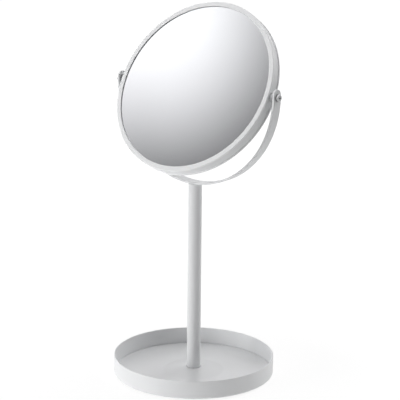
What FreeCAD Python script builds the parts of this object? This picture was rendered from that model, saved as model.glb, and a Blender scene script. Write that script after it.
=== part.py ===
import FreeCAD, Part
import math
import os

from FreeCAD import Vector

# A free-standing vanity mirror: a round tray base, a tube post, a half-ring yoke and a round
# two-sided mirror head that turns in the yoke. Units are millimetres. +Z is up, the plain
# glass faces -Y, the head turns about X, and the origin is the centre of the footprint.

# ---- tray base: one round pressing of painted steel sheet
TRAY_RADIUS = 76.5
TRAY_HEIGHT = 17.5
TRAY_SHEET = 1.2
TRAY_CORNER = 2.0            # outside radius where the floor turns up into the wall
BOSS_MARGIN = 2.0            # how far the raised seat for the post reaches past the tube
BOSS_SLOPE = 20.0            # radial width of the slope around the seat
BOSS_RISE = 3.0
BOSS_SOFTENING = 12.0        # radius that rounds the boss into the floor

# ---- anti-slip feet: round pads under the tray
FOOT_RADIUS = 7.0
FOOT_THICKNESS = 1.2
FOOT_INSET = 15.0            # from the tray's outside to the middle of a pad
FOOT_COUNT = 4
FOOT_EDGE = 0.3

# ---- post: a straight tube with a plug in each end
POST_RADIUS = 6.5
POST_WALL = 1.0
LOWER_INSERT_LENGTH = 16.0
LOWER_INSERT_LIFT = 0.4      # how far the insert sits up inside the tube's lower end
UPPER_PLUG_LENGTH = 12.0
SPIGOT_RADIUS = 3.0          # riveted end of the upper plug, dressed flush inside the yoke

# ---- base screw: countersunk, hexagon socket, driven up through the tray
BASE_SCREW_RADIUS = 2.5
BASE_SCREW_HEAD_RIM = 0.2    # height of the straight rim below the head's cone
BASE_SCREW_LENGTH = 14.0
BASE_SCREW_TIP = 0.6
HEX_SOCKET_WIDTH = 3.0       # across the flats
HEX_SOCKET_DEPTH = 1.7

# ---- yoke: flat steel strip bent to a half ring
PIVOT_HEIGHT = 276.2
YOKE_STRIP = 2.0
YOKE_WIDTH = 11.0
YOKE_TAB_RISE = 2.0          # straight length above the pivot, before the round end
YOKE_EDGE = 0.35             # rounding of the strip's long edges

# ---- mirror head
HEAD_TILT = 30.0             # degrees that the head leans back at rest
HEAD_RADIUS = 84.0
BEZEL_WIDTH = 4.6            # visible ring around the glass
BEZEL_LIP = 0.9
BEZEL_BEAD = 1.9             # depth of the rolled outer edge
BEZEL_ROUNDING = 0.7
BEZEL_LIP_ROUNDING = 0.35
BEZEL_COLLAR = 0.6           # wall of the collar that plugs into the hoop
RIM_STEP = 0.8               # how far the bead stands out past the hoop
RIM_SHEET = 0.8
GLASS_THICKNESS = 2.0
MAGNIFIER_DISH = 3.0         # depth of the curved glass at its centre
CARRIER_BAND = 3.6           # radial width of the carrier ring
CARRIER_BOSS_REACH = 9.0     # how far its pivot bosses reach in from the hoop
CARRIER_BOSS_WIDTH = 13.0

# ---- pivot hardware, alike on both sides
BUSH_WALL = 0.8
BUSH_COLLAR_CHAMFER = 0.3
SPRING_WASHER_RADIUS = 3.6
SPRING_WASHER_SHEET = 0.3
SPRING_WASHER_HEIGHT = 0.6
GLIDE_WASHER_RADIUS = 3.9
GLIDE_WASHER_THICKNESS = 0.7
PIVOT_SCREW_RADIUS = 1.75
PIVOT_SCREW_LENGTH = 13.0
PIVOT_SCREW_TIP = 0.4
PIVOT_HEAD_RADIUS = 3.5
PIVOT_HEAD_HEIGHT = 2.5
PIVOT_HEAD_CROWN = 1.1       # rounding of the pan head's edge
CROSS_LENGTH = 3.9
CROSS_WIDTH = 0.8
CROSS_DEPTH = 1.3

# ---- clearances
PLUG_GAP = 0.05              # radial, between a plug and its tube or hole
THREAD_GAP = 0.05            # radial, between a screw and the thread that it is driven into
DIMPLE_GAP = 0.1             # between the tray's dimple and the insert's countersink
DIMPLE_TO_TUBE = 0.3         # radial, between the foot of the dimple and the post's bore
CARRIER_GAP = 0.05           # radial, between the carrier ring or glass and the bezel collars
GLASS_SEAT_GAP = 0.02        # between the curved glass and the carrier ring
FOAM_GAP = 0.05
FOAM_MARGIN = 5.4            # from the pivot bosses in to the foam's edge
BUSH_TO_GLASS = 0.75         # between a pivot bush and the plain glass
BUSH_COLLAR_GAP = 0.35       # between a bush's collar and the rolled edges beside it
HEAD_TO_YOKE = 4.0           # radial, between the head and the inside of the yoke
PIVOT_HOLE_GAP = 0.08        # radial, between the pivot screw and the yoke
GLIDE_GAP = 0.2              # between the glide washer and the yoke's inner face
HEAD_GAP = 0.15              # between the yoke's outer face and the pivot screw's head

# ---- derived places
TRAY_UNDERSIDE = FOOT_THICKNESS
TRAY_FLOOR = TRAY_UNDERSIDE + TRAY_SHEET
TRAY_RIM = TRAY_UNDERSIDE + TRAY_HEIGHT
BOSS_UNDERSIDE = TRAY_UNDERSIDE + BOSS_RISE
BOSS_TOP = TRAY_FLOOR + BOSS_RISE
BOSS_TOP_RADIUS = POST_RADIUS + BOSS_MARGIN
BOSS_FOOT_RADIUS = BOSS_TOP_RADIUS + BOSS_SLOPE
FOOT_CIRCLE = TRAY_RADIUS - FOOT_INSET
POST_BORE = POST_RADIUS - POST_WALL
PLUG_RADIUS = POST_BORE - PLUG_GAP
DIMPLE_SKIN = TRAY_SHEET * math.sqrt(2.0)          # radial width of the sheet on a 45 degree cone
DIMPLE_FOOT = POST_BORE - DIMPLE_TO_TUBE
DIMPLE_RADIUS = DIMPLE_FOOT - DIMPLE_SKIN + TRAY_SHEET
BASE_SCREW_HEAD_RADIUS = DIMPLE_RADIUS - THREAD_GAP
YOKE_INNER_RADIUS = HEAD_RADIUS + HEAD_TO_YOKE
YOKE_OUTER_RADIUS = YOKE_INNER_RADIUS + YOKE_STRIP
HOOP_OUTER_RADIUS = HEAD_RADIUS - RIM_STEP
HOOP_INNER_RADIUS = HOOP_OUTER_RADIUS - RIM_SHEET
COLLAR_INNER_RADIUS = HOOP_INNER_RADIUS - PLUG_GAP - BEZEL_COLLAR
GLASS_RADIUS = COLLAR_INNER_RADIUS - CARRIER_GAP
BUSH_RADIUS = PIVOT_SCREW_RADIUS + THREAD_GAP + BUSH_WALL
GLASS_BACK = BUSH_RADIUS + BUSH_TO_GLASS           # depths are from the pivot axis
GLASS_FACE = GLASS_BACK + GLASS_THICKNESS
HEAD_FACE = GLASS_FACE + BEZEL_LIP
HOOP_HALF_BAND = HEAD_FACE - BEZEL_BEAD
BUSH_COLLAR_RADIUS = HOOP_HALF_BAND - BUSH_COLLAR_GAP
CARRIER_INNER_RADIUS = GLASS_RADIUS - CARRIER_BAND
CARRIER_BOSS_INNER = HOOP_INNER_RADIUS - CARRIER_BOSS_REACH
FOAM_RADIUS = CARRIER_BOSS_INNER - FOAM_MARGIN
DISH_RADIUS = (GLASS_RADIUS ** 2 + MAGNIFIER_DISH ** 2) / (2.0 * MAGNIFIER_DISH)
DISH_FLOOR = GLASS_BACK - MAGNIFIER_DISH           # inner face of the curved glass, at its middle
GLIDE_OUTER = YOKE_INNER_RADIUS - GLIDE_GAP        # stations along the pivot axis, from the middle
SPRING_OUTER = GLIDE_OUTER - GLIDE_WASHER_THICKNESS
BUSH_OUTER = SPRING_OUTER - SPRING_WASHER_HEIGHT
SCREW_SEAT = YOKE_OUTER_RADIUS + HEAD_GAP
WASHER_BORE = PIVOT_SCREW_RADIUS + PLUG_GAP

X_AXIS = Vector(1, 0, 0)
Y_AXIS = Vector(0, 1, 0)
Z_AXIS = Vector(0, 0, 1)
ORIGIN = Vector(0, 0, 0)


# ---- shape helpers

def rounded_wire(corners):
    """Closed wire in the XY plane through (x, y, corner radius) triples."""
    count = len(corners)
    places = [Vector(x, y, 0) for x, y, _ in corners]
    edges = []
    ends = []
    for index, (_, _, radius) in enumerate(corners):
        here = places[index]
        to_last = (places[index - 1] - here).normalize()
        to_next = (places[(index + 1) % count] - here).normalize()
        if radius <= 0:
            ends.append((here, here))
            continue
        half_angle = to_last.getAngle(to_next) / 2.0
        trim = radius / math.tan(half_angle)
        start = here + to_last * trim
        finish = here + to_next * trim
        bisector = (to_last + to_next).normalize()
        middle = here + bisector * (radius / math.sin(half_angle) - radius)
        edges.append(Part.Arc(start, middle, finish).toShape())
        ends.append((start, finish))
    for index in range(count):
        start = ends[index][1]
        finish = ends[(index + 1) % count][0]
        if start.distanceToPoint(finish) > 1e-6:
            edges.append(Part.makeLine(start, finish))
    return Part.Wire(Part.__sortEdges__(edges))


def turned_about_z(corners):
    """Solid of revolution about Z from (radius, height, corner radius) triples."""
    face = Part.Face(rounded_wire(corners))
    face.rotate(ORIGIN, X_AXIS, 90)
    return face.revolve(ORIGIN, Z_AXIS, 360)


def turned_about_y(corners):
    """Solid of revolution about Y from (radius, depth, corner radius) triples."""
    return Part.Face(rounded_wire(corners)).revolve(ORIGIN, Y_AXIS, 360)


def turned_about_x(corners):
    """Solid of revolution about X from (radius, station, corner radius) triples."""
    solid = turned_about_z(corners)
    solid.rotate(ORIGIN, Y_AXIS, 90)
    return solid


def ring(outer, inner, bottom, top):
    """Corner triples of a plain ring's section."""
    return [(inner, bottom, 0), (outer, bottom, 0), (outer, top, 0), (inner, top, 0)]


def rod_along_y(radius, half_length):
    """Cylinder along Y, centred on the pivot point of the yoke."""
    start = Vector(0, -half_length, PIVOT_HEIGHT)
    return Part.makeCylinder(radius, 2 * half_length, start, Y_AXIS)


def placed_in_head(solid):
    """Tilt a piece of the head to its rest angle and lift it to the pivot."""
    solid.rotate(ORIGIN, X_AXIS, -HEAD_TILT)
    solid.translate(Vector(0, 0, PIVOT_HEIGHT))
    return solid


def on_left(solid):
    """The same piece turned half round about the head's upright axis, onto the -X pivot."""
    solid.rotate(ORIGIN, Z_AXIS, 180)
    return solid


# ---- stand

def tray_base():
    """Tray with a raised seat for the post and a dimple formed up around the screw's head."""
    rim_round = TRAY_SHEET / 2.0
    hole = BASE_SCREW_RADIUS + THREAD_GAP
    cone_top = BOSS_UNDERSIDE + DIMPLE_RADIUS - hole
    cone_crest = DIMPLE_FOOT - (cone_top - BOSS_TOP)
    return turned_about_z([
        (DIMPLE_RADIUS, BOSS_UNDERSIDE, 0),
        (BOSS_TOP_RADIUS, BOSS_UNDERSIDE, BOSS_SOFTENING),
        (BOSS_FOOT_RADIUS, TRAY_UNDERSIDE, BOSS_SOFTENING),
        (TRAY_RADIUS, TRAY_UNDERSIDE, TRAY_CORNER),
        (TRAY_RADIUS, TRAY_RIM, rim_round),
        (TRAY_RADIUS - TRAY_SHEET, TRAY_RIM, rim_round),
        (TRAY_RADIUS - TRAY_SHEET, TRAY_FLOOR, TRAY_CORNER - TRAY_SHEET),
        (BOSS_FOOT_RADIUS, TRAY_FLOOR, BOSS_SOFTENING),
        (BOSS_TOP_RADIUS, BOSS_TOP, BOSS_SOFTENING),
        (DIMPLE_FOOT, BOSS_TOP, 0),
        (cone_crest, cone_top, 0),
        (hole, cone_top, 0),
    ])


def anti_slip_feet():
    """Round pads under the tray, evenly spaced."""
    pads = []
    for index in range(FOOT_COUNT):
        angle = math.radians((index + 0.5) * 360.0 / FOOT_COUNT)
        pad = turned_about_z([
            (0, 0, 0),
            (FOOT_RADIUS, 0, FOOT_EDGE),
            (FOOT_RADIUS, FOOT_THICKNESS, 0),
            (0, FOOT_THICKNESS, 0),
        ])
        pad.translate(Vector(FOOT_CIRCLE * math.cos(angle), FOOT_CIRCLE * math.sin(angle), 0))
        pads.append(pad)
    return Part.makeCompound(pads)


def post_tube():
    """Tube from the tray's boss up to the yoke, its top end saddled to the strip."""
    tube = turned_about_z(ring(POST_RADIUS, POST_BORE, BOSS_TOP, PIVOT_HEIGHT))
    return tube.cut(rod_along_y(YOKE_OUTER_RADIUS, 2 * POST_RADIUS))


def post_lower_insert():
    """Threaded plug in the tube's lower end, countersunk over the tray's dimple."""
    bottom = BOSS_TOP + LOWER_INSERT_LIFT
    top = bottom + LOWER_INSERT_LENGTH
    bore = BASE_SCREW_RADIUS + THREAD_GAP
    mouth = DIMPLE_RADIUS + DIMPLE_SKIN + DIMPLE_GAP - (bottom - BOSS_UNDERSIDE)
    return turned_about_z([
        (mouth, bottom, 0),
        (PLUG_RADIUS, bottom, 0),
        (PLUG_RADIUS, top, 0),
        (bore, top, 0),
        (bore, bottom + mouth - bore, 0),
    ])


def base_screw():
    """Countersunk screw that pulls the post down onto the tray."""
    head_top = BOSS_UNDERSIDE + BASE_SCREW_HEAD_RADIUS - BASE_SCREW_RADIUS
    tip = BOSS_UNDERSIDE + BASE_SCREW_LENGTH
    underside = BOSS_UNDERSIDE - BASE_SCREW_HEAD_RIM
    screw = turned_about_z([
        (0, underside, 0),
        (BASE_SCREW_HEAD_RADIUS, underside, 0),
        (BASE_SCREW_HEAD_RADIUS, BOSS_UNDERSIDE, 0),
        (BASE_SCREW_RADIUS, head_top, 0),
        (BASE_SCREW_RADIUS, tip - BASE_SCREW_TIP, 0),
        (BASE_SCREW_RADIUS - BASE_SCREW_TIP, tip, 0),
        (0, tip, 0),
    ])
    corner = HEX_SOCKET_WIDTH / math.sqrt(3.0)
    points = []
    for index in range(7):
        angle = math.radians(60.0 * index)
        points.append(Vector(corner * math.cos(angle), corner * math.sin(angle), underside))
    socket = Part.Face(Part.makePolygon(points)).extrude(Z_AXIS * HEX_SOCKET_DEPTH)
    return screw.cut(socket)


def post_top_plug():
    """Plug in the tube's upper end, with a spigot riveted through the yoke."""
    bottom = PIVOT_HEIGHT - YOKE_OUTER_RADIUS - UPPER_PLUG_LENGTH
    span = PIVOT_HEIGHT - bottom
    start = Vector(0, 0, bottom)
    body = Part.makeCylinder(PLUG_RADIUS, span, start)
    body = body.cut(rod_along_y(YOKE_OUTER_RADIUS, 2 * POST_RADIUS))
    spigot = Part.makeCylinder(SPIGOT_RADIUS, span, start)
    spigot = spigot.cut(rod_along_y(YOKE_INNER_RADIUS, 2 * POST_RADIUS))
    return body.fuse(spigot).removeSplitter()


def yoke():
    """Half ring of flat strip with straight, round-ended tabs and its three holes."""
    half_width = YOKE_WIDTH / 2.0
    tab_top = PIVOT_HEIGHT + YOKE_TAB_RISE + half_width
    outer = YOKE_OUTER_RADIUS
    inner = YOKE_INNER_RADIUS
    outline = Part.Wire([
        Part.Arc(Vector(-outer, 0, PIVOT_HEIGHT), Vector(0, 0, PIVOT_HEIGHT - outer),
                 Vector(outer, 0, PIVOT_HEIGHT)).toShape(),
        Part.makeLine(Vector(outer, 0, PIVOT_HEIGHT), Vector(outer, 0, tab_top)),
        Part.makeLine(Vector(outer, 0, tab_top), Vector(inner, 0, tab_top)),
        Part.makeLine(Vector(inner, 0, tab_top), Vector(inner, 0, PIVOT_HEIGHT)),
        Part.Arc(Vector(inner, 0, PIVOT_HEIGHT), Vector(0, 0, PIVOT_HEIGHT - inner),
                 Vector(-inner, 0, PIVOT_HEIGHT)).toShape(),
        Part.makeLine(Vector(-inner, 0, PIVOT_HEIGHT), Vector(-inner, 0, tab_top)),
        Part.makeLine(Vector(-inner, 0, tab_top), Vector(-outer, 0, tab_top)),
        Part.makeLine(Vector(-outer, 0, tab_top), Vector(-outer, 0, PIVOT_HEIGHT)),
    ])
    strip = Part.Face(outline)
    strip.translate(Vector(0, -half_width, 0))
    strip = strip.extrude(Y_AXIS * YOKE_WIDTH)
    side_start = Vector(-outer - YOKE_STRIP, -half_width, PIVOT_HEIGHT - outer - YOKE_STRIP)
    side_width = 2 * (outer + YOKE_STRIP)
    end_centre = Vector(side_start.x, 0, PIVOT_HEIGHT + YOKE_TAB_RISE)
    side = Part.makeBox(side_width, YOKE_WIDTH, end_centre.z - side_start.z, side_start)
    side = side.fuse(Part.makeCylinder(half_width, side_width, end_centre, X_AXIS))
    strip = strip.common(side.removeSplitter()).removeSplitter()
    strip = strip.makeFillet(YOKE_EDGE, long_edges(strip, half_width))
    pivot_start = Vector(side_start.x, 0, PIVOT_HEIGHT)
    pivot_hole = PIVOT_SCREW_RADIUS + PIVOT_HOLE_GAP
    strip = strip.cut(Part.makeCylinder(pivot_hole, side_width, pivot_start, X_AXIS))
    spigot_start = Vector(0, 0, side_start.z)
    return strip.cut(Part.makeCylinder(SPIGOT_RADIUS + PLUG_GAP, outer, spigot_start))


def long_edges(strip, half_width):
    """Edges of the strip's outline: those on its two sides and around its round ends."""
    chosen = []
    for edge in strip.Edges:
        middle = edge.valueAt((edge.FirstParameter + edge.LastParameter) / 2.0)
        on_side = abs(abs(middle.y) - half_width) < 1e-4
        on_end = middle.z > PIVOT_HEIGHT + YOKE_TAB_RISE + 1e-4
        across = abs(edge.BoundBox.XLength - YOKE_STRIP) < 1e-4 and edge.BoundBox.ZLength < 1e-4
        if (on_side or on_end) and not across:
            chosen.append(edge)
    return chosen


# ---- mirror head, drawn upright about the pivot point and tilted when it is placed

def bezel_ring(front):
    """Rolled ring that holds one glass; its collar plugs into the hoop."""
    side = -1.0 if front else 1.0
    face = side * HEAD_FACE
    bead_back = side * HOOP_HALF_BAND
    glass_face = side * GLASS_FACE
    collar_end = side * GLASS_BACK
    solid = turned_about_y([
        (HEAD_RADIUS - BEZEL_WIDTH, glass_face, BEZEL_LIP_ROUNDING),
        (HEAD_RADIUS - BEZEL_WIDTH, face, BEZEL_LIP_ROUNDING),
        (HEAD_RADIUS, face, BEZEL_ROUNDING),
        (HEAD_RADIUS, bead_back, BEZEL_ROUNDING / 2.0),
        (HOOP_INNER_RADIUS - PLUG_GAP, bead_back, 0),
        (HOOP_INNER_RADIUS - PLUG_GAP, collar_end, 0),
        (COLLAR_INNER_RADIUS, collar_end, 0),
        (COLLAR_INNER_RADIUS, glass_face, 0),
    ])
    return placed_in_head(solid)


def rim_hoop():
    """Band between the two bezel rings, with a hole for each pivot bush."""
    section = ring(HOOP_OUTER_RADIUS, HOOP_INNER_RADIUS, -HOOP_HALF_BAND, HOOP_HALF_BAND)
    hoop = turned_about_y(section)
    start = Vector(-HEAD_RADIUS, 0, 0)
    hoop = hoop.cut(Part.makeCylinder(BUSH_RADIUS + PLUG_GAP, 2 * HEAD_RADIUS, start, X_AXIS))
    return placed_in_head(hoop)


def front_mirror_glass():
    """Plain glass disc."""
    disc = Part.makeCylinder(GLASS_RADIUS, GLASS_THICKNESS, Vector(0, -GLASS_FACE, 0), Y_AXIS)
    return placed_in_head(disc)


def dish_depth(radius):
    """Depth of the curved glass's inner face at a radius."""
    return DISH_FLOOR + DISH_RADIUS - math.sqrt(DISH_RADIUS ** 2 - radius ** 2)


def dished_wire(thickness):
    """Half section of the curved glass between two parallel arcs, closed on the axis."""
    half = GLASS_RADIUS / 2.0
    inner = [Vector(radius, dish_depth(radius), 0) for radius in (0, half, GLASS_RADIUS)]
    outer = [point + Vector(0, thickness, 0) for point in inner]
    return Part.Wire([
        Part.Arc(*inner).toShape(),
        Part.makeLine(inner[2], outer[2]),
        Part.Arc(*reversed(outer)).toShape(),
        Part.makeLine(outer[0], inner[0]),
    ])


def rear_mirror_glass():
    """Magnifying glass: a shallow dish, hollow towards +Y."""
    face = Part.Face(dished_wire(GLASS_THICKNESS))
    return placed_in_head(face.revolve(ORIGIN, Y_AXIS, 360))


def glass_carrier_ring():
    """Moulded ring that keeps the glasses apart, with a boss behind each pivot bush."""
    band_rear = dish_depth(CARRIER_INNER_RADIUS) - GLASS_SEAT_GAP
    band = turned_about_y(ring(GLASS_RADIUS, CARRIER_INNER_RADIUS, -GLASS_BACK, band_rear))
    boss_depth = GLASS_BACK + dish_depth(CARRIER_BOSS_INNER) - GLASS_SEAT_GAP
    boss_start = Vector(CARRIER_BOSS_INNER, -GLASS_BACK, -CARRIER_BOSS_WIDTH / 2.0)
    boss = Part.makeBox(CARRIER_BOSS_REACH, boss_depth, CARRIER_BOSS_WIDTH, boss_start)
    start = Vector(0, -HEAD_FACE, 0)
    boss = boss.common(Part.makeCylinder(GLASS_RADIUS, 2 * HEAD_FACE, start, Y_AXIS))
    carrier = band.fuse([boss, boss.rotated(ORIGIN, Y_AXIS, 180)]).removeSplitter()
    start = Vector(-HEAD_RADIUS, 0, 0)
    carrier = carrier.cut(Part.makeCylinder(BUSH_RADIUS + PLUG_GAP, 2 * HEAD_RADIUS, start, X_AXIS))
    return placed_in_head(carrier)


def foam_backing_disc():
    """Foam disc between the two glasses."""
    thickness = GLASS_BACK + DISH_FLOOR - FOAM_GAP
    disc = Part.makeCylinder(FOAM_RADIUS, thickness, Vector(0, -GLASS_BACK, 0), Y_AXIS)
    return placed_in_head(disc)


# ---- pivot hardware, drawn on the +X side

def pivot_bush():
    """Threaded bush through the hoop, with a collar that spaces the yoke."""
    bore = PIVOT_SCREW_RADIUS + THREAD_GAP
    collar = turned_about_x([
        (bore, HOOP_INNER_RADIUS, 0),
        (BUSH_COLLAR_RADIUS, HOOP_INNER_RADIUS, 0),
        (BUSH_COLLAR_RADIUS, BUSH_OUTER, BUSH_COLLAR_CHAMFER),
        (bore, BUSH_OUTER, 0),
    ])
    start = Vector(0, -HEAD_FACE, 0)
    hoop_core = Part.makeCylinder(HOOP_OUTER_RADIUS, 2 * HEAD_FACE, start, Y_AXIS)
    stem = turned_about_x(ring(BUSH_RADIUS, bore, CARRIER_BOSS_INNER, BUSH_OUTER))
    return collar.cut(hoop_core).fuse(stem).removeSplitter()


def spring_washer():
    """Dished spring washer on the bush's collar."""
    rise = SPRING_WASHER_HEIGHT - SPRING_WASHER_SHEET
    return turned_about_x([
        (WASHER_BORE, BUSH_OUTER + rise, 0),
        (SPRING_WASHER_RADIUS, BUSH_OUTER, 0),
        (SPRING_WASHER_RADIUS, BUSH_OUTER + SPRING_WASHER_SHEET, 0),
        (WASHER_BORE, SPRING_OUTER, 0),
    ])


def glide_washer():
    """Nylon washer between the spring washer and the yoke."""
    return turned_about_x(ring(GLIDE_WASHER_RADIUS, WASHER_BORE, SPRING_OUTER, GLIDE_OUTER))


def pivot_screw():
    """Pan-head screw with a cross recess, through the yoke into the bush."""
    tip = SCREW_SEAT - PIVOT_SCREW_LENGTH
    crest = SCREW_SEAT + PIVOT_HEAD_HEIGHT
    screw = turned_about_x([
        (0, tip, 0),
        (PIVOT_SCREW_RADIUS - PIVOT_SCREW_TIP, tip, 0),
        (PIVOT_SCREW_RADIUS, tip + PIVOT_SCREW_TIP, 0),
        (PIVOT_SCREW_RADIUS, SCREW_SEAT, 0),
        (PIVOT_HEAD_RADIUS, SCREW_SEAT, 0),
        (PIVOT_HEAD_RADIUS, crest, PIVOT_HEAD_CROWN),
        (0, crest, 0),
    ])
    for long_y, long_z in ((CROSS_LENGTH, CROSS_WIDTH), (CROSS_WIDTH, CROSS_LENGTH)):
        start = Vector(crest - CROSS_DEPTH, -long_y / 2.0, -long_z / 2.0)
        screw = screw.cut(Part.makeBox(2 * CROSS_DEPTH, long_y, long_z, start))
    return screw


# ---- one STEP file for each node

def pivot_nodes():
    """Both sides' pivot pieces, placed in the head."""
    nodes = {}
    for name, make in (("pivot_bush", pivot_bush), ("spring_washer", spring_washer),
                       ("glide_washer", glide_washer), ("pivot_screw", pivot_screw)):
        nodes["right_" + name] = placed_in_head(make())
        nodes["left_" + name] = placed_in_head(on_left(make()))
    return nodes


def all_nodes():
    """Every node of the mirror, by name."""
    nodes = {
        "tray_base": tray_base(),
        "anti_slip_feet": anti_slip_feet(),
        "post_tube": post_tube(),
        "post_lower_insert": post_lower_insert(),
        "base_screw": base_screw(),
        "post_top_plug": post_top_plug(),
        "yoke": yoke(),
        "rim_hoop": rim_hoop(),
        "front_bezel_ring": bezel_ring(front=True),
        "rear_bezel_ring": bezel_ring(front=False),
        "front_mirror_glass": front_mirror_glass(),
        "rear_mirror_glass": rear_mirror_glass(),
        "glass_carrier_ring": glass_carrier_ring(),
        "foam_backing_disc": foam_backing_disc(),
    }
    nodes.update(pivot_nodes())
    return nodes


os.makedirs("parts", exist_ok=True)
for node_name, shape in all_nodes().items():
    shape.exportStep(os.path.join("parts", node_name + ".step"))
    print(node_name, len(shape.Solids), shape.isValid(), round(shape.Volume, 2), shape.BoundBox)
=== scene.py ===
import logging
import math
from abc import ABC, abstractmethod
from dataclasses import dataclass
from enum import Enum
from typing import Any, ClassVar, Iterable, Sequence

import bmesh
import bpy
from mathutils import Matrix, Vector


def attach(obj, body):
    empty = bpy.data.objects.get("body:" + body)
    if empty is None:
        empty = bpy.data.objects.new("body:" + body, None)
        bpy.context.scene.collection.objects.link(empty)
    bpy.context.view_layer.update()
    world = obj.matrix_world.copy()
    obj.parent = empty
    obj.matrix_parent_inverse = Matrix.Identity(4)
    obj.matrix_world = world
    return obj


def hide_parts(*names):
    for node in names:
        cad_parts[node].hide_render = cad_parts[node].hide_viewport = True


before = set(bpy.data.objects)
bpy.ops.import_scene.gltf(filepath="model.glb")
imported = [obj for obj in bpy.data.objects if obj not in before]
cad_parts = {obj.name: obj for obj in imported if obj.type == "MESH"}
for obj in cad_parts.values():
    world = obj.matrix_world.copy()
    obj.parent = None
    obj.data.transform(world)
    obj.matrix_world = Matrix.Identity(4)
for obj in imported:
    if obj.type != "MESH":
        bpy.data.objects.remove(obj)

LOG = logging.getLogger("vanity_mirror")
MM = 0.001
TURN = 2.0 * math.pi
ORIGIN = (0.0, 0.0, 0.0)
UP = (0.0, 0.0, 1.0)
TOUCHING = 1e-4                     # points nearer than this, in millimetres, are one
SQUARE_EDGE = 0.8                   # turn of an edge, in radians, past which it is square
TRUE_EDGE = math.radians(38.0)      # turn of an edge past which it isn't shaded smooth
ACROSS = 2.2                        # a drill through both sides of a ring, in ring radii

Mesh = bmesh.types.BMesh
Vert = bmesh.types.BMVert
Piece = bpy.types.Object
Tree = bpy.types.NodeTree
Node = bpy.types.Node
Socket = bpy.types.NodeSocket
Colour = tuple[float, float, float]


class Body(Enum):
    """The two bodies that pieces ride on."""

    STAND = "stand"
    HEAD = "mirror_head"


class Slot(Enum):
    """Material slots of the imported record."""

    POWDER_COAT = "white_powder_coat"
    MIRROR = "mirror_glass"
    CHROME = "chrome_screw"
    ZINC = "zinc_steel"
    PLASTIC = "white_plastic"
    NYLON = "nylon"
    FOAM = "backing_foam"
    RUBBER = "grey_rubber"


class Side(Enum):
    """Which end of the pivot axis a piece sits on."""

    RIGHT = "right"
    LEFT = "left"


class Axis(Enum):
    """The line that a section is turned about, as the turn that brings +Z onto it."""

    UPRIGHT = (0.0, "X")
    DEPTH = (-90.0, "X")
    PIVOT = (90.0, "Y")

    def matrix(self) -> Matrix:
        """The rotation from the upright axis to this one."""
        degrees, about = self.value
        return Matrix.Rotation(math.radians(degrees), 4, about)


# ---- mesh making, in millimetres until a piece is finished


@dataclass(frozen=True)
class Corner:
    """A corner of a turned section."""

    radius: float
    station: float
    rounding: float = 0.0


def band(outer: float, inner: float, low: float, high: float, edge: float = 0.0) -> list[Corner]:
    """Section of a plain ring, or of a disc where its inner radius is nothing.

    Args:
        outer: Outer radius.
        inner: Inner radius.
        low: Station of one end.
        high: Station of the other end.
        edge: Rounding of the two outer corners.

    Returns:
        The four corners.
    """
    return [Corner(inner, low), Corner(outer, low, edge), Corner(outer, high, edge),
            Corner(inner, high)]


def only_verts(items: Iterable[Any]) -> list[Vert]:
    """The vertices among what an operator made."""
    return [item for item in items if isinstance(item, Vert)]


def moved(mesh: Mesh, matrix: Matrix) -> None:
    """Move a whole mesh."""
    bmesh.ops.transform(mesh, matrix=matrix, verts=mesh.verts[:])


def close_up(mesh: Mesh) -> None:
    """Merge what touches and turn every face outwards, by normals that are up to date."""
    bmesh.ops.remove_doubles(mesh, verts=mesh.verts[:], dist=TOUCHING)
    mesh.normal_update()
    bmesh.ops.recalc_face_normals(mesh, faces=mesh.faces[:])


def round_corners(mesh: Mesh, verts: Sequence[Vert], corners: Sequence[Corner],
                  segments: int) -> None:
    """Round the corners of a flat section, each with its own radius.

    Args:
        mesh: The mesh that holds the section as one face.
        verts: The section's vertices, in order.
        corners: The corner that each vertex stands for.
        segments: Edges along each rounding.
    """
    places = [vert.co.copy() for vert in verts]
    for index, corner in enumerate(corners):
        if corner.rounding <= 0.0:
            continue
        to_last = places[index - 1] - places[index]
        to_next = places[(index + 1) % len(places)] - places[index]
        trim = corner.rounding / math.tan(to_last.angle(to_next) / 2.0)
        bmesh.ops.bevel(mesh, geom=[verts[index]], offset=trim, offset_type="OFFSET",
                        affect="VERTICES", segments=segments, profile=0.5, material=-1)


def turned(corners: Sequence[Corner], axis: Axis, steps: int = 192, segments: int = 5) -> Mesh:
    """Turn a closed section through a full circle.

    Args:
        corners: The section's corners, as radius and station along the axis.
        axis: The line that the section turns about.
        steps: Divisions of the circle.
        segments: Edges along each rounded corner.

    Returns:
        A closed shell with its faces outwards.
    """
    mesh = bmesh.new()
    verts = [mesh.verts.new((corner.radius, 0.0, corner.station)) for corner in corners]
    mesh.faces.new(verts)
    round_corners(mesh, verts, corners, segments)
    bmesh.ops.delete(mesh, geom=mesh.faces[:], context="FACES_ONLY")
    on_axis = [edge for edge in mesh.edges if max(abs(vert.co.x) for vert in edge.verts) < TOUCHING]
    bmesh.ops.delete(mesh, geom=on_axis, context="EDGES")
    bmesh.ops.spin(mesh, geom=mesh.verts[:] + mesh.edges[:], cent=ORIGIN, axis=UP, dvec=ORIGIN,
                   angle=TURN, steps=steps, use_merge=True, use_duplicate=False)
    close_up(mesh)
    moved(mesh, axis.matrix())
    return mesh


def linked(name: str, data: bpy.types.ID) -> Piece:
    """A new object of the scene."""
    made = bpy.data.objects.new(name, data)
    bpy.context.scene.collection.objects.link(made)
    return made


def settled(mesh: Mesh, name: str) -> Piece:
    """A new object that takes over a mesh."""
    data = bpy.data.meshes.new(name)
    mesh.to_mesh(data)
    mesh.free()
    return linked(name, data)


@dataclass(frozen=True)
class Hole:
    """A round hole through the object's upright axis, in millimetres."""

    radius: float
    length: float
    height: float
    axis: Axis


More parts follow.
